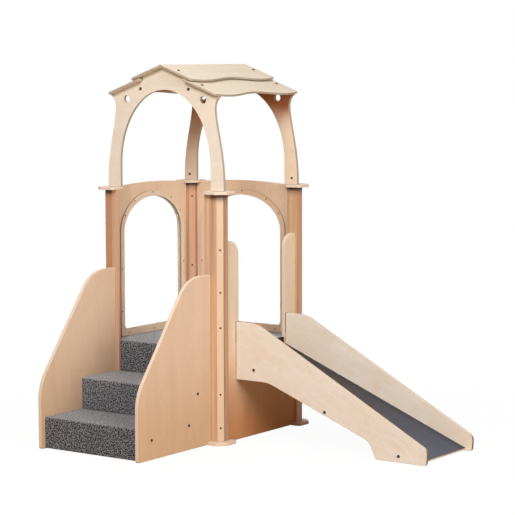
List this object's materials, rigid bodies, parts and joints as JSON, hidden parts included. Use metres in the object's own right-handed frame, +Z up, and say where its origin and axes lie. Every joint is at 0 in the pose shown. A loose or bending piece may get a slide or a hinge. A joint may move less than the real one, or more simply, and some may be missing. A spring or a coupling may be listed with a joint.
{
  "type": "toddler climbing gym",
  "caption": "Wooden toddler climbing gym: a square roofed tower with arched windows, carpeted steps on one side and a straight slide on another.",
  "frame": {"origin": "on the floor, under the centre of the whole object's bounding box", "axes": "+Z up; +X from the tower towards the foot of the slide; -Y from the tower towards the steps"},
  "size_m": [1.9118, 1.3802, 1.9167],
  "materials": {
    "birch_plywood": "satin lacquer",
    "post_timber": "satin lacquer",
    "carpet": "flecked loop pile",
    "slide_laminate": "semi-gloss",
    "clear_acrylic": "clear",
    "dark_steel": "black"
  },
  "bodies": {
    "root": {"post_front_left": "post_timber", "post_front_right": "post_timber", "post_back_left": "post_timber", "post_back_right": "post_timber", "foot_front_left": "birch_plywood", "foot_front_right": "birch_plywood", "foot_back_left": "birch_plywood", "foot_back_right": "birch_plywood", "cap_front_left": "birch_plywood", "cap_front_right": "birch_plywood", "cap_back_left": "birch_plywood", "cap_back_right": "birch_plywood", "jamb_left": "post_timber", "jamb_right": "post_timber", "window_panel_left": "birch_plywood", "window_panel_back": "birch_plywood", "window_ring_left": "birch_plywood", "window_ring_back": "birch_plywood", "window_pane_left": "clear_acrylic", "window_pane_back": "clear_acrylic", "gate_panel": "birch_plywood", "platform_deck": "birch_plywood", "platform_carpet": "carpet", "platform_riser": "birch_plywood", "bearer_left": "post_timber", "bearer_right": "post_timber", "stair_side_left": "birch_plywood", "stair_side_right": "birch_plywood", "lower_tread": "birch_plywood", "upper_tread": "birch_plywood", "lower_riser": "birch_plywood", "upper_riser": "birch_plywood", "lower_carpet": "carpet", "upper_carpet": "carpet", "stair_rail_front": "post_timber", "stair_rail_upper": "post_timber", "stair_rail_tie": "post_timber", "slide_side_front": "birch_plywood", "slide_side_back": "birch_plywood", "slide_bed": "birch_plywood", "slide_surface": "slide_laminate", "slide_rail_top": "post_timber", "slide_rail_middle": "post_timber", "slide_rail_foot": "post_timber", "slide_hooks": "dark_steel", "gable_front": "birch_plywood", "gable_back": "birch_plywood", "purlin_left": "post_timber", "purlin_right": "post_timber", "roof_upper_left": "birch_plywood", "roof_upper_right": "birch_plywood", "roof_lower_left": "birch_plywood", "roof_lower_right": "birch_plywood", "wood_screws": "dark_steel", "ring_screws": "dark_steel", "panel_bolts": "dark_steel", "roof_bolts": "dark_steel", "arch_studs": "dark_steel", "barrel_nuts": "dark_steel", "jamb_dowels": "post_timber"}
  },
  "joints": []
}
